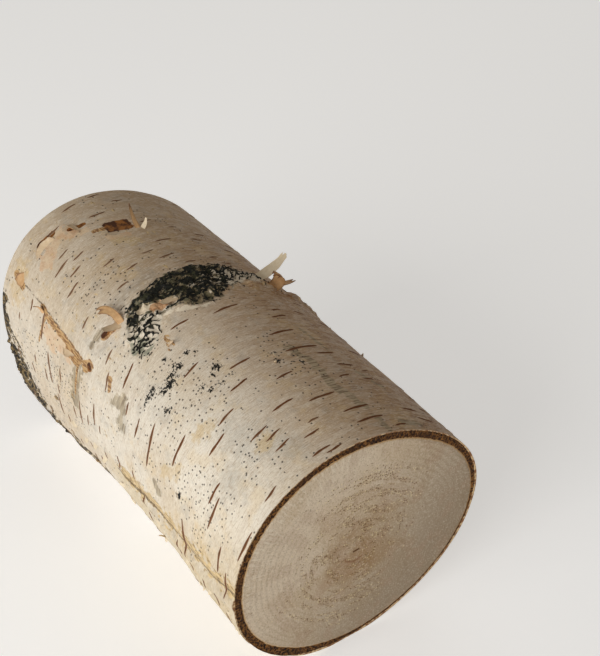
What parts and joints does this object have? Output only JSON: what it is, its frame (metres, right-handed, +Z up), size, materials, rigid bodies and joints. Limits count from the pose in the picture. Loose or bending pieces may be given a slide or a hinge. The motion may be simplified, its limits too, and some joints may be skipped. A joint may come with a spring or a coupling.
{
  "type": "birch log",
  "caption": "Short sawn birch log lying on its side: flat sawn ends, a brown inner bark ring and white papery outer bark with peeling curls and a raised crusted branch collar.",
  "frame": {"origin": "middle of the bounding box's underside, on the surface the log lies on", "axes": "+X along the log toward the sawn end seen in the picture, +Z up, +Y away from the side seen in the picture"},
  "size_m": [0.161, 0.1042, 0.1123],
  "materials": {
    "wood": "sawn, matt",
    "inner_bark": "corky, matt",
    "outer_bark": "papery, matt"
  },
  "bodies": {
    "root": {"wood": "wood", "inner_bark": "inner_bark", "outer_bark": "outer_bark"}
  },
  "joints": []
}
